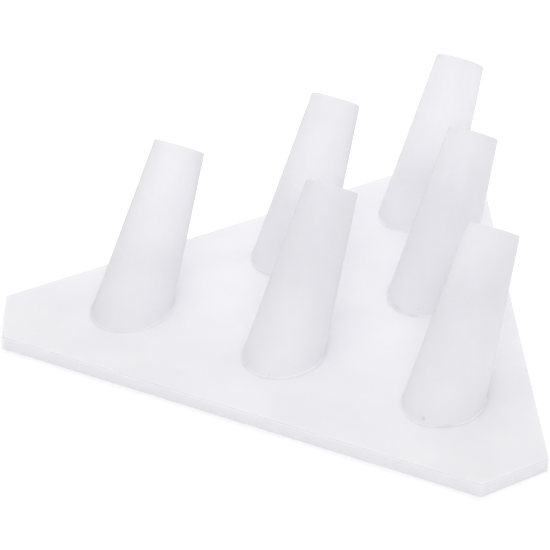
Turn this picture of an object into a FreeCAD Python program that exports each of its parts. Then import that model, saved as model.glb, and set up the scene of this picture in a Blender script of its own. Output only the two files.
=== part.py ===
"""Ring display stand: a triangular acrylic plate that carries six leaning tapered fingers.

Millimetres, +Z up. The origin is the centre of the plate's underside. The plate's long front edge
runs along X on the -Y side, and every finger leans the same way, towards the back corner at +Y.
Each finger is cut flat at its foot and stands on a film of cement, which is squeezed out into a
small bead around it.
"""

import FreeCAD, Part

import math
import os

import Sketcher

DIMENSIONS = {
    "triangle_side": 150.0,  # the plate's triangle, before its corners are cut
    "corner_cut": 17.2,  # taken off each side by a cut corner
    "plate_thickness": 3.2,
    "edge_break": 0.12,  # rounding on every edge of the plate
    "finger_length": 37.6,  # along the finger's axis, from its foot plane to its tip
    "foot_diameter": 17.4,  # square to the axis, where the axis meets the foot plane
    "tip_diameter": 11.7,
    "tip_round": 0.2,
    "lean_angle": 35.5,  # degrees from the vertical
    "front_row": 18.5,  # rows of feet: distance in front of the centre
    "middle_row": 19.0,  # behind the centre
    "back_row": 51.6,
    "front_pitch": 38.6,  # between neighbours in the front row
    "middle_offset": 17.6,  # either side of centre in the middle row
    "film_thickness": 0.1,  # cement between plate and finger
    "bead_width": 0.25,  # cement squeezed out around the foot
    "bead_height": 0.3,  # above the plate
    "bead_bevel": 0.15,  # slopes the bead's top down to the plate
}

# Where each finger stands: X and Y of its foot.
FINGERS = {
    "front_left": ("-sheet.front_pitch", "-sheet.front_row"),
    "front_centre": ("0", "-sheet.front_row"),
    "front_right": ("sheet.front_pitch", "-sheet.front_row"),
    "middle_left": ("-sheet.middle_offset", "sheet.middle_row"),
    "middle_right": ("sheet.middle_offset", "sheet.middle_row"),
    "back": ("0", "sheet.back_row"),
}

FOOT_HEIGHT = "sheet.plate_thickness + sheet.film_thickness"
BEAD_BOTTOM = "-sheet.film_thickness"
BEAD_TOP = "sheet.bead_height - sheet.film_thickness"

# The cone runs on below the foot plane by this much, so that the plane cuts all of it.
ROOT = "sheet.foot_diameter"
FOOT_RADIUS = "sheet.foot_diameter / 2"
TIP_RADIUS = "sheet.tip_diameter / 2"
ROOT_RADIUS = f"({FOOT_RADIUS} + ({FOOT_RADIUS} - {TIP_RADIUS}) * {ROOT} / sheet.finger_length)"

# How a sketch's constraints name its origin, its upright axis and the ends of a line.
ORIGIN = (-1, 1)
UPRIGHT = -2
START, END = 1, 2
STARTING_VALUE = 10.0

TOLERANCE = 1e-6


def add_sheet(doc):
    """Put the driving dimensions in a spreadsheet, one alias each."""
    sheet = doc.addObject("Spreadsheet::Sheet", "sheet")
    for row, (alias, value) in enumerate(DIMENSIONS.items(), start=1):
        sheet.set(f"A{row}", alias)
        sheet.set(f"B{row}", str(value))
        sheet.setAlias(f"B{row}", alias)
    doc.recompute()


def add_sketch(body, plane, name):
    """Add a sketch on one of the body's own origin planes."""
    sketch = body.newObject("Sketcher::SketchObject", name)
    support = next(item for item in body.Origin.OriginFeatures if item.Role == plane)
    sketch.AttachmentSupport = [(support, "")]
    sketch.MapMode = "FlatFace"
    return sketch


def draw_outline(sketch, points):
    """Draw a closed outline of straight lines. Line n runs from point n to the next one."""
    corners = [FreeCAD.Vector(x, y, 0) for x, y in points]
    for start, end in zip(corners, corners[1:] + corners[:1]):
        sketch.addGeometry(Part.LineSegment(start, end), False)
    for line in range(len(corners)):
        following = (line + 1) % len(corners)
        sketch.addConstraint(Sketcher.Constraint("Coincident", line, END, following, START))


def tie(sketch, expression, kind, *geometry):
    """Add a dimension to the sketch; the expression then replaces its starting value."""
    index = sketch.addConstraint(Sketcher.Constraint(kind, *geometry, STARTING_VALUE))
    sketch.setExpression(f"Constraints[{index}]", expression)


def edges_where(feature, test):
    """Names of the feature's edges that pass the test."""
    return [f"Edge{n}" for n, edge in enumerate(feature.Shape.Edges, start=1) if test(edge)]


def top_edges(feature):
    """Names of the feature's highest edges."""
    highest = max(edge.CenterOfMass.z for edge in feature.Shape.Edges)
    return edges_where(feature, lambda edge: edge.CenterOfMass.z > highest - TOLERANCE)


def make_plate(doc):
    """Triangular plate, front edge towards -Y, with its three corners cut and its edges broken."""
    body = doc.addObject("PartDesign::Body", "base_plate")
    sketch = add_sketch(body, "XY_Plane", "plate_outline")
    side = DIMENSIONS["triangle_side"]
    front = -side / (2 * math.sqrt(3))
    draw_outline(sketch, [(-side / 2, front), (side / 2, front), (0, side / math.sqrt(3))])
    sketch.addConstraint(Sketcher.Constraint("Symmetric", 0, START, 0, END, UPRIGHT))
    sketch.addConstraint(Sketcher.Constraint("Equal", 0, 1))
    sketch.addConstraint(Sketcher.Constraint("Equal", 0, 2))
    tie(sketch, "sheet.triangle_side", "DistanceX", 0, START, 0, END)
    tie(sketch, "sheet.triangle_side / (2 * sqrt(3))", "DistanceY", 0, START, *ORIGIN)

    pad = body.newObject("PartDesign::Pad", "plate_blank")
    pad.Profile = sketch
    pad.setExpression("Length", "sheet.plate_thickness")
    doc.recompute()

    corners = body.newObject("PartDesign::Chamfer", "plate_corners")
    corners.Base = (pad, edges_where(pad, lambda edge: abs(edge.tangentAt(0).z) > 1 - TOLERANCE))
    corners.setExpression("Size", "sheet.corner_cut")
    doc.recompute()

    broken = body.newObject("PartDesign::Fillet", "plate_edge_break")
    broken.Base = (corners, [])
    broken.UseAllEdges = True
    broken.setExpression("Radius", "sheet.edge_break")
    return body


def add_leaning_cone(body, name, allowance):
    """Revolve a cone about the leaning axis, thicker than the finger by allowance all round."""
    sketch = add_sketch(body, "YZ_Plane", f"{name}_outline")
    lean = math.radians(DIMENSIONS["lean_angle"])
    root, length = DIMENSIONS["foot_diameter"], DIMENSIONS["finger_length"]
    radius = DIMENSIONS["foot_diameter"] / 2
    along = (math.sin(lean), math.cos(lean))
    across = (math.cos(lean), -math.sin(lean))
    stations = [(-root, 0), (-root, radius), (length, radius), (length, 0)]
    draw_outline(
        sketch,
        [(a * along[0] + r * across[0], a * along[1] + r * across[1]) for a, r in stations],
    )
    root_line, tip_line, axis = 0, 2, 3
    sketch.addConstraint(Sketcher.Constraint("Perpendicular", root_line, axis))
    sketch.addConstraint(Sketcher.Constraint("Perpendicular", tip_line, axis))
    tie(sketch, f"{ROOT_RADIUS} + {allowance}", "Distance", root_line)
    tie(sketch, f"{TIP_RADIUS} + {allowance}", "Distance", tip_line)
    tie(sketch, "sheet.finger_length * sin(sheet.lean_angle)", "DistanceX", *ORIGIN, axis, START)
    tie(sketch, "sheet.finger_length * cos(sheet.lean_angle)", "DistanceY", *ORIGIN, axis, START)
    tie(sketch, f"{ROOT} * sin(sheet.lean_angle)", "DistanceX", axis, END, *ORIGIN)
    tie(sketch, f"{ROOT} * cos(sheet.lean_angle)", "DistanceY", axis, END, *ORIGIN)

    cone = body.newObject("PartDesign::Revolution", f"{name}_cone")
    cone.Profile = sketch
    cone.ReferenceAxis = (sketch, [f"Edge{axis + 1}"])
    cone.Angle = 360


def cut_flat(body, name, height, upwards):
    """Cut away all of the body above or below a level plane."""
    sketch = add_sketch(body, "XY_Plane", f"{name}_outline")
    sketch.setExpression("AttachmentOffset.Base.z", height)
    reach = DIMENSIONS["finger_length"]
    draw_outline(sketch, [(-reach, -reach), (reach, -reach), (reach, reach), (-reach, reach)])
    bottom, right, top, left = range(4)
    for line in (bottom, top):
        sketch.addConstraint(Sketcher.Constraint("Horizontal", line))
    for line in (right, left):
        sketch.addConstraint(Sketcher.Constraint("Vertical", line))
    sketch.addConstraint(Sketcher.Constraint("Symmetric", bottom, START, top, START, *ORIGIN))
    sketch.addConstraint(Sketcher.Constraint("Equal", bottom, right))
    tie(sketch, "2 * sheet.finger_length", "DistanceX", bottom, START, bottom, END)

    cut = body.newObject("PartDesign::Pocket", f"{name}_cut")
    cut.Profile = sketch
    cut.Type = "ThroughAll"
    cut.Reversed = upwards
    return cut


def stand_at(piece, x, y):
    """Stand the piece's own origin, on the finger's axis, in the plane of the foot."""
    for axis, expression in zip("xyz", (x, y, FOOT_HEIGHT)):
        piece.setExpression(f"Placement.Base.{axis}", expression)


def make_finger(doc, place, x, y):
    """Tapered finger, leaning towards +Y, cut flat at its foot and lightly rounded at its tip."""
    body = doc.addObject("PartDesign::Body", f"ring_finger_{place}")
    add_leaning_cone(body, f"finger_{place}", "0")
    foot = cut_flat(body, f"foot_{place}", "0", upwards=False)
    doc.recompute()

    tip = body.newObject("PartDesign::Fillet", f"tip_round_{place}")
    tip.Base = (foot, top_edges(foot))
    tip.setExpression("Radius", "sheet.tip_round")
    stand_at(body, x, y)
    return body


def make_bond(doc, place, x, y, finger):
    """Cement under one finger: a film with a bevelled bead around the foot, cut to the finger."""
    blank = doc.addObject("PartDesign::Body", f"bead_blank_{place}")
    add_leaning_cone(blank, f"bead_{place}", "sheet.bead_width")
    cut_flat(blank, f"bead_bottom_{place}", BEAD_BOTTOM, upwards=False)
    top = cut_flat(blank, f"bead_top_{place}", BEAD_TOP, upwards=True)
    doc.recompute()

    bevel = blank.newObject("PartDesign::Chamfer", f"bead_bevel_{place}")
    bevel.Base = (top, top_edges(top))
    bevel.setExpression("Size", "sheet.bead_bevel")
    stand_at(blank, x, y)

    bond = doc.addObject("Part::Cut", f"adhesive_bond_{place}")
    bond.Base = blank
    bond.Tool = finger
    return bond


def check(doc, pieces):
    """Stop if a feature failed, or if a piece isn't one valid solid."""
    for item in doc.Objects:
        if {"Invalid", "Error"} & set(item.State):
            raise RuntimeError(f"{item.Label} failed to compute")
    for piece in pieces:
        shape = piece.Shape
        if shape.isNull() or not shape.isValid() or len(shape.Solids) != 1:
            raise RuntimeError(f"{piece.Label} isn't one valid solid")


def main():
    doc = FreeCAD.newDocument("ring_stand")
    add_sheet(doc)
    pieces = [make_plate(doc)]
    for place, (x, y) in FINGERS.items():
        finger = make_finger(doc, place, x, y)
        pieces += [finger, make_bond(doc, place, x, y, finger)]
    doc.recompute()
    check(doc, pieces)
    os.makedirs("parts", exist_ok=True)
    for piece in pieces:
        piece.Shape.exportStep(f"parts/{piece.Label}.step")


main()
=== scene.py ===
"""Looks of the six-finger ring display stand: frosted white acrylic on a white studio floor.

Metres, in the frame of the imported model: the origin is the centre of the plate's underside, +Z is
up, and the fingers lean towards +Y. The plate and the fingers are the CAD nodes themselves with
procedural acrylic on them. The cement under each finger is rebuilt as an uneven bead with bubbles.
"""

import math
import random

import bmesh
import bpy
from mathutils import Matrix, Vector


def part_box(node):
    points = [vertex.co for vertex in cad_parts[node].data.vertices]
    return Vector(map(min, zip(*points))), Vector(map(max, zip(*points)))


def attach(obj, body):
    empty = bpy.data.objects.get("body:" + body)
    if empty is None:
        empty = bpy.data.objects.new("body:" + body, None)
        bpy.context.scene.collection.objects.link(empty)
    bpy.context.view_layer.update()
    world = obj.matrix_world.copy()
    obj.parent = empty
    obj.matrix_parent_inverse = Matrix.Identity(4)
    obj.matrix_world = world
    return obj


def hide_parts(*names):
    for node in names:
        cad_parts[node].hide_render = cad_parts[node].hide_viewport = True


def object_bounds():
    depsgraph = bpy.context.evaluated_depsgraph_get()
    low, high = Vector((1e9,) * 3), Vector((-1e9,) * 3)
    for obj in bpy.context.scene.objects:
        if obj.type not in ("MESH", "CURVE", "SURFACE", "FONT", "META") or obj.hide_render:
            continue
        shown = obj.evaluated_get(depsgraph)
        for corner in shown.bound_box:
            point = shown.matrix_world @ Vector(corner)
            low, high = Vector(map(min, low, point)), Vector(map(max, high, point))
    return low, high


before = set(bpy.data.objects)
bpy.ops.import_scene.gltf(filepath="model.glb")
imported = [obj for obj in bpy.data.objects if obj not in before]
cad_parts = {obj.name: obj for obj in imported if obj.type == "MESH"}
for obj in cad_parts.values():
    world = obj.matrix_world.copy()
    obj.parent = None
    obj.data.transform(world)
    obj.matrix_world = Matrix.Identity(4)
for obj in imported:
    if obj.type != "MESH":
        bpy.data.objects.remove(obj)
CAD_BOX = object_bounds()

MM = 0.001
PLATE_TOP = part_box("base_plate")[1].z
PLACES = ("front_left", "front_centre", "front_right", "middle_left", "middle_right", "back")

# Camera: the direction it looks in, turned by its roll, the point of the plate's top that it aims
# at, and how far from that point it stands.
AZIMUTH = math.radians(27.2139)
ELEVATION = math.radians(31.7691)
ROLL = math.radians(0.5856)
CAMERA_DISTANCE = 0.55245
AIM_XY = (-0.01661, 0.00857)
LENS_MM = 156.13
SENSOR_MM = 36.0

# Fingers: the lean from the vertical and the taper, as the CAD has them.
LEAN = math.radians(35.5)
FINGER_AXIS = Vector((0.0, math.sin(LEAN), math.cos(LEAN)))
FINGER_LENGTH = 37.6 * MM
FOOT_RADIUS = 8.7 * MM
TIP_RADIUS = 5.85 * MM
TAPER = math.atan((FOOT_RADIUS - TIP_RADIUS) / FINGER_LENGTH)
FOOT_TO_APEX = FINGER_LENGTH * FOOT_RADIUS / (FOOT_RADIUS - TIP_RADIUS)


def link(item):
    """Put a new object in the scene."""
    bpy.context.scene.collection.objects.link(item)
    return item


# --- node helpers -----------------------------------------------------------------------------

# The Mix node's colour sockets share their names with its other kinds, so they go by number.
MIX_FIRST, MIX_SECOND, MIX_RESULT = 6, 7, 2


class Tree:
    """A material's node tree, with short calls to add and join nodes."""

    def __init__(self, name):
        self.material = bpy.data.materials.new(name)
        self.material.use_nodes = True
        self.nodes = self.material.node_tree.nodes
        self.links = self.material.node_tree.links
        self.shader = next(node for node in self.nodes if node.type == "BSDF_PRINCIPLED")

    def set(self, node, values):
        """Set a node's inputs: a number or colour is written, and a socket is linked."""
        for name, value in values.items():
            if isinstance(value, bpy.types.NodeSocket):
                self.links.new(value, node.inputs[name])
            else:
                node.inputs[name].default_value = value

    def add(self, kind, values=None, **settings):
        """Add a node, with its properties as keywords and its inputs in values."""
        node = self.nodes.new(f"ShaderNode{kind}")
        for name, value in settings.items():
            setattr(node, name, value)
        self.set(node, values or {})
        return node

    def stretched(self, scale, turn=(0.0, 0.0, 0.0)):
        """Coordinates in the model's frame, turned and then scaled, in features per metre."""
        place = self.add("TexCoord").outputs["Object"]
        turned = self.add("Mapping", {"Vector": place, "Rotation": turn})
        return self.add("Mapping", {"Vector": turned.outputs[0], "Scale": scale}).outputs[0]

    def noise(self, scale, detail=3.0, roughness=0.5, turn=(0.0, 0.0, 0.0)):
        """Noise from 0 to 1 with features 1 / scale metres across; scale may differ by axis."""
        scale = (scale,) * 3 if isinstance(scale, (int, float)) else scale
        values = {
            "Vector": self.stretched(scale, turn),
            "Scale": 1.0,
            "Detail": detail,
            "Roughness": roughness,
        }
        return self.add("TexNoise", values).outputs["Fac"]

    def ramp(self, value, low, high, start=0.3, end=0.7):
        """Map a value's range from start to end smoothly on to low to high, and clamp it there."""
        values = {"Value": value, "From Min": start, "From Max": end, "To Min": low, "To Max": high}
        return self.add("MapRange", values, interpolation_type="SMOOTHSTEP").outputs["Result"]

    def maths(self, operation, *numbers):
        """Combine numbers or sockets with one Math node."""
        return self.add("Math", dict(enumerate(numbers)), operation=operation).outputs[0]

    def mix(self, share, first, second):
        """Blend two colours by a share from 0 to 1."""
        node = self.add("Mix", data_type="RGBA")
        self.set(node, {"Factor": share, MIX_FIRST: first, MIX_SECOND: second})
        return node.outputs[MIX_RESULT]

    def bumps(self, layers):
        """Chain bump layers, each (height, depth in metres), into one normal."""
        normal = None
        for height, depth in layers:
            values = {"Height": height, "Distance": depth, "Strength": 1.0}
            if normal is not None:
                values["Normal"] = normal
            normal = self.add("Bump", values).outputs["Normal"]
        return normal


# --- materials --------------------------------------------------------------------------------

SHEET_LIGHT = (0.860, 0.855, 0.884, 1.0)
SHEET_DEEP = (0.826, 0.821, 0.850, 1.0)
SHEET_EDGE = (0.820, 0.816, 0.845, 1.0)
# Painted shade: the broken edge along the plate's top is darker, to cancel the highlight it
# catches.
SHEET_ARRIS_PAINTED_SHADE = (0.690, 0.686, 0.712, 1.0)
ROD_LIGHT = (0.887, 0.881, 0.914, 1.0)
ROD_DEEP = (0.855, 0.849, 0.882, 1.0)
# Painted shade: the fingers' ends are darker, to dull the bright rim that the lamps behind light on
# them.
ROD_END_PAINTED_SHADE = (0.780, 0.776, 0.802, 1.0)
# The cement's tones vary at random, and are set lighter than the fingers' as painted light that
# lifts the shade where a finger meets the plate.
CEMENT_LIGHT_PLUS_PAINTED_LIGHT = (0.915, 0.909, 0.935, 1.0)
CEMENT_DEEP_PLUS_PAINTED_LIGHT = (0.880, 0.874, 0.900, 1.0)
TRAPPED_AIR_GREY = (0.500, 0.500, 0.530, 1.0)
ACRYLIC_IOR = 1.49

# Frosting. The fine etched grain is in the relief, the tone and the gloss. The larger mottle makes
# up the rest of the tone, and has a share in the gloss.
GRAIN_PER_METRE = 3200.0
GRAIN_DEPTH = 0.018 * MM
GRAIN_IN_TONE = 0.35
MOTTLE_IN_GLOSS = 0.5
SAWN_SIDE_SMOOTHER = 0.1

# A finger's core is clear, and its frosted skin lets this share of the light through. The skin
# scatters it so much that the cone hardly works as a lens, so its IOR is below clear acrylic's.
SKIN_CLEARNESS = 0.24
SKIN_IOR = 1.25
CLOUDY_BELOW = PLATE_TOP + 6 * MM
CLEAR_ABOVE = PLATE_TOP + 20 * MM

# Light scattered under the surface: red, green and blue go this far, times the depth. On a finger
# it fades away towards the foot.
SCATTER_RADIUS = (1.0, 1.0, 1.05)
SCATTER_DEPTH = 0.7 * MM
SCATTER_WEIGHT = 0.75
SCATTER_FULL_ABOVE = PLATE_TOP + 3 * MM


def acrylic(name):
    """Start a material with what all the acrylic shares: light scatters just under its surface."""
    tree = Tree(name)
    tree.set(tree.shader, {"Subsurface Radius": SCATTER_RADIUS, "Subsurface Scale": SCATTER_DEPTH})
    return tree


def frosting(tree, mottle_per_metre, deep, light, smooth, rough):
    """Etched grain and slight mottle: the grain's height, the colour and the roughness."""
    grain = tree.noise(GRAIN_PER_METRE, detail=2.0)
    mottle = tree.noise(mottle_per_metre, detail=4.0)
    mottle_tone = tree.maths("MULTIPLY", mottle, 1.0 - GRAIN_IN_TONE)
    tone = tree.maths("MULTIPLY_ADD", grain, GRAIN_IN_TONE, mottle_tone)
    colour = tree.mix(tree.ramp(tone, 0.0, 1.0), deep, light)
    gloss = tree.maths("ADD", grain, tree.maths("MULTIPLY", mottle, MOTTLE_IN_GLOSS))
    return grain, colour, tree.ramp(gloss, smooth, rough)


def plate_acrylic():
    """Frosted sheet: etched grain on its faces, fine cutter marks across its sawn edges.

    The side faces have a tone of their own. The broken edge above them is painted darker, as
    painted shade that cancels the highlight it catches.
    """
    tree = acrylic("satin_acrylic_plate")
    grain, face, etched = frosting(tree, 90.0, SHEET_DEEP, SHEET_LIGHT, 0.42, 0.58)
    waves = tree.noise(160.0, detail=1.0)
    cutter = tree.noise((1900.0, 1900.0, 120.0), detail=2.0)
    normals = tree.add("NewGeometry").outputs["True Normal"]
    # This is 0 on a side, 1 on the top, -1 underneath, and in between on a broken edge.
    upwards = tree.add("SeparateXYZ", {"Vector": normals}).outputs["Z"]
    on_side = tree.ramp(tree.maths("ABSOLUTE", upwards), 1.0, 0.0, start=0.2, end=0.8)
    above_side = tree.ramp(upwards, 0.0, 1.0, start=0.05, end=0.20)
    below_top = tree.ramp(upwards, 1.0, 0.0, start=0.94, end=0.99)
    # Painted shade: the broken edge above a side gets a darker tone, so that it shows no highlight.
    painted_shade_on_arris = tree.maths("MULTIPLY", above_side, below_top)
    colour = tree.mix(painted_shade_on_arris, tree.mix(on_side, face, SHEET_EDGE), SHEET_ARRIS_PAINTED_SHADE)
    smoother = tree.maths("MULTIPLY", on_side, SAWN_SIDE_SMOOTHER)
    roughness = tree.maths("SUBTRACT", etched, smoother)
    marks = tree.maths("MULTIPLY", cutter, on_side)
    normal = tree.bumps([(grain, GRAIN_DEPTH), (waves, 0.030 * MM), (marks, 0.050 * MM)])
    tree.set(tree.shader, {"Base Color": colour, "Roughness": roughness, "Normal": normal})
    tree.set(tree.shader, {"IOR": ACRYLIC_IOR, "Subsurface Weight": SCATTER_WEIGHT})
    return tree.material


def finger_acrylic():
    """Frosted taper: etched grain and the faint rings that turning leaves around the axis.

    Light passes through its skin above the foot, and nothing holds it back on its way out. Close to
    the foot the skin is cloudy, and the light scattered in it fades, so that the joint stays light.
    """
    tree = acrylic("satin_acrylic_finger")
    grain, wall, roughness = frosting(tree, 110.0, ROD_DEEP, ROD_LIGHT, 0.40, 0.56)
    rings = tree.noise((90.0, 90.0, 1500.0), detail=2.0, turn=(LEAN, 0.0, 0.0))
    waves = tree.noise(200.0, detail=1.0)
    geometry = tree.add("NewGeometry")
    vectors = {0: geometry.outputs["True Normal"], 1: FINGER_AXIS}
    # This is 1 on the end of the finger, and just above 0 on its wall.
    along_axis = tree.add("VectorMath", vectors, operation="DOT_PRODUCT").outputs["Value"]
    # Painted shade: the end is darkened, so that it shows no bright rim.
    painted_shade_on_end = tree.ramp(along_axis, 0.0, 1.0, start=0.15, end=0.40)
    colour = tree.mix(painted_shade_on_end, wall, ROD_END_PAINTED_SHADE)
    normal = tree.bumps([(grain, GRAIN_DEPTH), (rings, 0.010 * MM), (waves, 0.025 * MM)])
    tree.set(tree.shader, {"Base Color": colour, "Roughness": roughness, "Normal": normal})
    place = tree.add("TexCoord").outputs["Object"]
    height = tree.add("SeparateXYZ", {"Vector": place}).outputs["Z"]
    clear = tree.ramp(height, 0.0, SKIN_CLEARNESS, start=CLOUDY_BELOW, end=CLEAR_ABOVE)
    clear_from_inside = tree.maths("MAXIMUM", clear, geometry.outputs["Backfacing"])
    tree.set(tree.shader, {"Transmission Weight": clear_from_inside, "IOR": SKIN_IOR})
    scatter = tree.ramp(height, 0.0, SCATTER_WEIGHT, start=PLATE_TOP, end=SCATTER_FULL_ABOVE)
    tree.set(tree.shader, {"Subsurface Weight": scatter})
    return tree.material


def cement():
    """Set acrylic cement: smoother than the frosted faces, darker where air is trapped in it."""
    tree = Tree("clear_cement")
    tree.set(tree.shader, {"IOR": ACRYLIC_IOR})
    flow = tree.noise(900.0, detail=3.0)
    air = tree.add("Attribute", attribute_name="trapped_air").outputs["Fac"]
    # The flow's tones carry painted light, against the shade in the corner where a finger meets the
    # plate.
    clear = tree.mix(tree.ramp(flow, 0.0, 1.0), CEMENT_DEEP_PLUS_PAINTED_LIGHT, CEMENT_LIGHT_PLUS_PAINTED_LIGHT)
    colour = tree.mix(air, clear, TRAPPED_AIR_GREY)
    normal = tree.bumps([(flow, 0.010 * MM)])
    roughness = tree.ramp(flow, 0.30, 0.44)
    tree.set(tree.shader, {"Base Color": colour, "Roughness": roughness, "Normal": normal})
    return tree.material


# --- cement beads -----------------------------------------------------------------------------

TOLERANCE = 0.001 * MM
BEAD_STEPS = 180  # round the foot
BEAD_PROFILE = 6  # steps from the finger's wall down to the plate
BEAD_WIDTH = 0.22 * MM
BEAD_HEIGHT = 0.22 * MM
BEAD_UNEVENNESS = 0.4  # how far the width and the height stray, as a share of each
BEAD_FULLNESS = 0.2  # 0 would draw the hollow face into the corner, and 0.5 would make it straight
BEAD_SINK = 0.03 * MM  # how far the bead reaches into the finger, so that no gap shows
SMOOTH_BELOW = math.radians(50)

# Directions at a foot are degrees from +X towards +Y, so -90 is the front.
# Stretches where air got under a foot, and the bead is higher and looks darker:
# (direction, degrees it reaches either way, strength from 0 to 1, extra height in mm).
AIR_GAPS = {
    "front_left": [(-70, 16, 0.14, 0.1)],
    "front_centre": [(-120, 8, 0.16, 0.1)],
    "front_right": [(-60, 14, 0.30, 0.2)],
    "middle_left": [(-100, 18, 0.16, 0.1)],
    "middle_right": [(-112, 18, 0.28, 0.6), (-84, 12, 0.18, 0.2)],
    "back": [(-110, 14, 0.12, 0.1)],
}

# Bubbles against the finger's wall: (direction, height of the middle above the foot, half the
# width and half the height in mm, strength from 0 to 1).
BUBBLES = {
    "front_left": [(-96, 0.45, 0.20, 0.18, 0.15)],
    "front_centre": [(-120, 0.65, 0.50, 0.60, 0.24), (-79, 0.45, 0.36, 0.34, 0.18)],
    "front_right": [(-92.5, 0.95, 0.72, 0.56, 0.42), (-72, 0.35, 0.26, 0.20, 0.20)],
    "middle_left": [(-118, 0.40, 0.24, 0.20, 0.18)],
    "middle_right": [(-77, 1.25, 0.40, 0.42, 0.24), (-128, 0.60, 0.28, 0.26, 0.22)],
    "back": [(-88, 0.40, 0.22, 0.18, 0.15)],
}
BUBBLE_BULGE = 0.05 * MM
BUBBLE_RINGS = 6
BUBBLE_STEPS = 28


class Foot:
    """The outline of a finger's foot, and the wall of its cone above that outline."""

    def __init__(self, place):
        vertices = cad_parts[f"ring_finger_{place}"].data.vertices
        self.z = min(v.co.z for v in vertices)
        ring = [v.co for v in vertices if v.co.z < self.z + TOLERANCE]
        low = Vector((min(p.x for p in ring), min(p.y for p in ring), self.z))
        high = Vector((max(p.x for p in ring), max(p.y for p in ring), self.z))
        self.centre = (low + high) / 2
        self.reach = (high - low) / 2
        # At the front of the foot the wall leans by the finger's lean and its taper together.
        rise = FOOT_TO_APEX * math.cos(LEAN)
        apex_y = low.y + rise * math.tan(LEAN + TAPER)
        self.apex = Vector((self.centre.x, apex_y, self.z + rise))

    def outline(self, angle):
        """Point on the foot's outline in that direction."""
        x, y = math.cos(angle) * self.reach.x, math.sin(angle) * self.reach.y
        return self.centre + Vector((x, y, 0.0))

    def outwards(self, angle):
        """Level direction square to the outline."""
        x, y = math.cos(angle) / self.reach.x, math.sin(angle) / self.reach.y
        return Vector((x, y, 0.0)).normalized()

    def wall(self, angle, height):
        """Point on the finger's wall at that height above the foot."""
        start = self.outline(angle)
        return start.lerp(self.apex, height / (self.apex.z - self.z))


def wobble(chance, count=5):
    """A smooth random function of an angle, about 0 and within 1."""
    waves = []
    for n in range(1, count + 1):
        phase = chance.uniform(0, math.tau)
        waves.append((n, phase, chance.uniform(0.4, 1.0) / n))
    total = sum(size for _, _, size in waves)
    return lambda angle: sum(size * math.sin(n * angle + phase) for n, phase, size in waves) / total


def air_gap(place, angle):
    """How strongly air shows in the cement in that direction, and how much higher the bead is."""
    strength, rise = 0.0, 0.0
    for middle, reach, full, extra in AIR_GAPS[place]:
        away = (math.degrees(angle) - middle + 180) % 360 - 180
        share = math.exp(-((away / reach) ** 2))
        strength = max(strength, full * share)
        rise = max(rise, extra * MM * share)
    return strength, rise


def bead_section(foot, angle, width, height):
    """Points of the bead's hollow face, from the finger's wall down to the plate."""
    out = foot.outwards(angle)
    top = foot.wall(angle, height) - out * BEAD_SINK
    end = foot.outline(angle) + out * width
    end.z = PLATE_TOP
    corner = foot.wall(angle, height * BEAD_FULLNESS) + out * width * BEAD_FULLNESS
    points = []
    for step in range(BEAD_PROFILE + 1):
        t = step / BEAD_PROFILE
        points.append(top * (1 - t) ** 2 + corner * 2 * t * (1 - t) + end * t**2)
    return points


def join_rings(mesh, first, second):
    """Fill between two rings of as many points."""
    for k in range(len(first)):
        following = (k + 1) % len(first)
        mesh.faces.new((first[k], first[following], second[following], second[k]))


def add_bubble(mesh, air, foot, direction, height, half_width, half_height, strength):
    """Add a lens that lies along the finger's wall, darker towards its middle."""
    radius = (foot.reach.x + foot.reach.y) / 2

    def point(reach, turn, side):
        across = reach * math.cos(turn) * half_width * MM
        up = reach * math.sin(turn) * half_height * MM
        angle = math.radians(direction) + across / radius
        depth = side * BUBBLE_BULGE * (1 - reach**2)
        vertex = mesh.verts.new(foot.wall(angle, height * MM + up) + foot.outwards(angle) * depth)
        vertex[air] = strength * (1 - reach**2)
        return vertex

    turns = [math.tau * step / BUBBLE_STEPS for step in range(BUBBLE_STEPS)]
    rim = [point(1.0, turn, 1) for turn in turns]
    for side in (1, -1):
        outer = rim
        for ring in range(BUBBLE_RINGS - 1, 0, -1):
            inner = [point(ring / BUBBLE_RINGS, turn, side) for turn in turns]
            join_rings(mesh, outer, inner)
            outer = inner
        middle = point(0.0, 0.0, side)
        for first, second in zip(outer, outer[1:] + outer[:1]):
            mesh.faces.new((first, second, middle))


def make_bond(place, material):
    """Cement under one finger: the film, the squeezed-out bead around it and its bubbles."""
    chance = random.Random(f"bond {place}")
    wide, tall = wobble(chance), wobble(chance)
    foot = Foot(place)
    mesh = bmesh.new()
    air = mesh.verts.layers.float.new("trapped_air")
    sections = []
    for step in range(BEAD_STEPS):
        angle = math.tau * step / BEAD_STEPS - math.pi
        strength, rise = air_gap(place, angle)
        width = BEAD_WIDTH * (1 + BEAD_UNEVENNESS * wide(angle))
        height = BEAD_HEIGHT * (1 + BEAD_UNEVENNESS * tall(angle)) + rise
        inner = foot.outline(angle) - foot.outwards(angle) * BEAD_SINK
        section = [mesh.verts.new(p) for p in [inner, *bead_section(foot, angle, width, height)]]
        for vertex in section:
            vertex[air] = strength
        sections.append(section)
    rings = list(zip(*sections))
    for first, second in zip(rings, rings[1:]):
        join_rings(mesh, first, second)
    mesh.faces.new(rings[0])
    mesh.faces.new(rings[-1][::-1])
    for bubble in BUBBLES[place]:
        add_bubble(mesh, air, foot, *bubble)
    bmesh.ops.recalc_face_normals(mesh, faces=mesh.faces)
    data = bpy.data.meshes.new(f"cement_{place}")
    mesh.to_mesh(data)
    mesh.free()
    data.shade_smooth()
    data.set_sharp_from_angle(angle=SMOOTH_BELOW)
    data.materials.append(material)
    piece = link(bpy.data.objects.new(f"cement_{place}", data))
    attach(piece, "root")
    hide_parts(f"adhesive_bond_{place}")


# --- stage ------------------------------------------------------------------------------------

FLOOR_SIZE = 12.0
FLOOR_WHITE = (0.93, 0.93, 0.93, 1.0)
FLOOR_GLOW = 0.18
FLOOR_GAP = 0.02 * MM
WHITE = (1.0, 1.0, 1.0, 1.0)
SURROUNDINGS_BRIGHTNESS = 0.575

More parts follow.
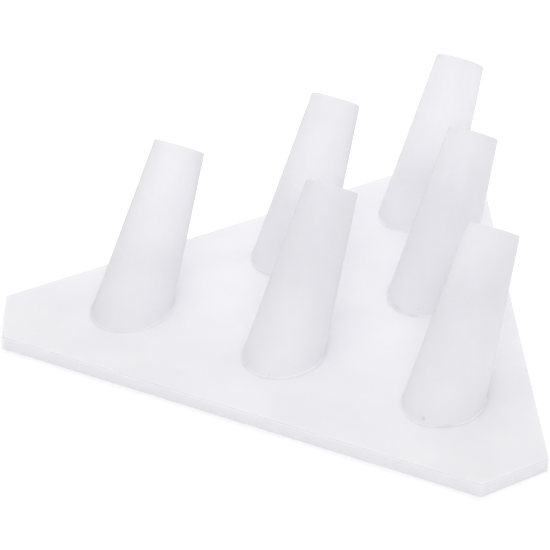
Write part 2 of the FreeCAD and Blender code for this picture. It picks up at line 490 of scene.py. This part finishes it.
# Softboxes: direction (0 is the front, and it grows towards +X) and elevation in degrees, distance
# and size in metres, and power in watts.
SOFTBOXES = {
    "front": (27, 40, 1.6, 1.2, 6.5),
    "low_front": (-18, 15, 1.6, 1.2, 0.6),
    "right_rear": (147, 40, 1.6, 1.2, 2.6),
    "behind": (-153, 30, 0.4, 0.25, 0.19),
    "behind_high": (-153, 70, 0.4, 0.25, 0.365),
}


def make_floor():
    """Plain white studio floor, faintly lit from below as a light table is."""
    tree = Tree("studio_floor")
    tree.set(tree.shader, {"Base Color": FLOOR_WHITE, "Roughness": 0.9, "Specular IOR Level": 0.0})
    tree.set(tree.shader, {"Emission Color": WHITE, "Emission Strength": FLOOR_GLOW})
    data = bpy.data.meshes.new("floor")
    half = FLOOR_SIZE / 2
    corners = [(-half, -half, 0), (half, -half, 0), (half, half, 0), (-half, half, 0)]
    data.from_pydata(corners, [], [(0, 1, 2, 3)])
    data.materials.append(tree.material)
    floor = link(bpy.data.objects.new("floor", data))
    floor.location.z = CAD_BOX[0].z - FLOOR_GAP


def add_softbox(name, direction, elevation, distance, size, power):
    """Square area light that faces the stand."""
    light = bpy.data.lights.new(name, "AREA")
    light.size = size
    light.energy = power
    lamp = link(bpy.data.objects.new(name, light))
    a, e = math.radians(direction), math.radians(elevation)
    away = Vector((math.sin(a) * math.cos(e), -math.cos(a) * math.cos(e), math.sin(e)))
    lamp.location = away * distance
    lamp.rotation_euler = away.to_track_quat("Z", "Y").to_euler()


def light_scene():
    """White surroundings, three large soft lights, and two small ones close behind the stand."""
    world = bpy.data.worlds.new("studio")
    world.use_nodes = True
    background = world.node_tree.nodes["Background"]
    background.inputs["Color"].default_value = WHITE
    background.inputs["Strength"].default_value = SURROUNDINGS_BRIGHTNESS
    bpy.context.scene.world = world
    for name, softbox in SOFTBOXES.items():
        add_softbox(name, *softbox)


def place_camera():
    """Stand the camera where the stand is seen from its front right, from above."""
    level = math.cos(ELEVATION)
    across, ahead = -math.sin(AZIMUTH) * level, math.cos(AZIMUTH) * level
    forward = Vector((across, ahead, -math.sin(ELEVATION)))
    right = forward.cross(Vector((0, 0, 1))).normalized()
    up = right.cross(forward)
    turn = Matrix.Rotation(ROLL, 3, -forward)
    axes = Matrix((turn @ right, turn @ up, -forward)).transposed()
    data = bpy.data.cameras.new("camera")
    data.sensor_width = SENSOR_MM
    data.lens = LENS_MM
    camera = link(bpy.data.objects.new("camera", data))
    aim = Vector((*AIM_XY, PLATE_TOP))
    camera.matrix_world = Matrix.Translation(aim - forward * CAMERA_DISTANCE) @ axes.to_4x4()
    bpy.context.scene.camera = camera


def dress(node, material):
    """Give a CAD node its material."""
    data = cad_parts[node].data
    data.materials.clear()
    data.materials.append(material)


place_camera()
dress("base_plate", plate_acrylic())
rod = finger_acrylic()
glue = cement()
for finger_place in PLACES:
    dress(f"ring_finger_{finger_place}", rod)
    make_bond(finger_place, glue)
make_floor()
light_scene()
bpy.context.scene.view_settings.view_transform = "Standard"
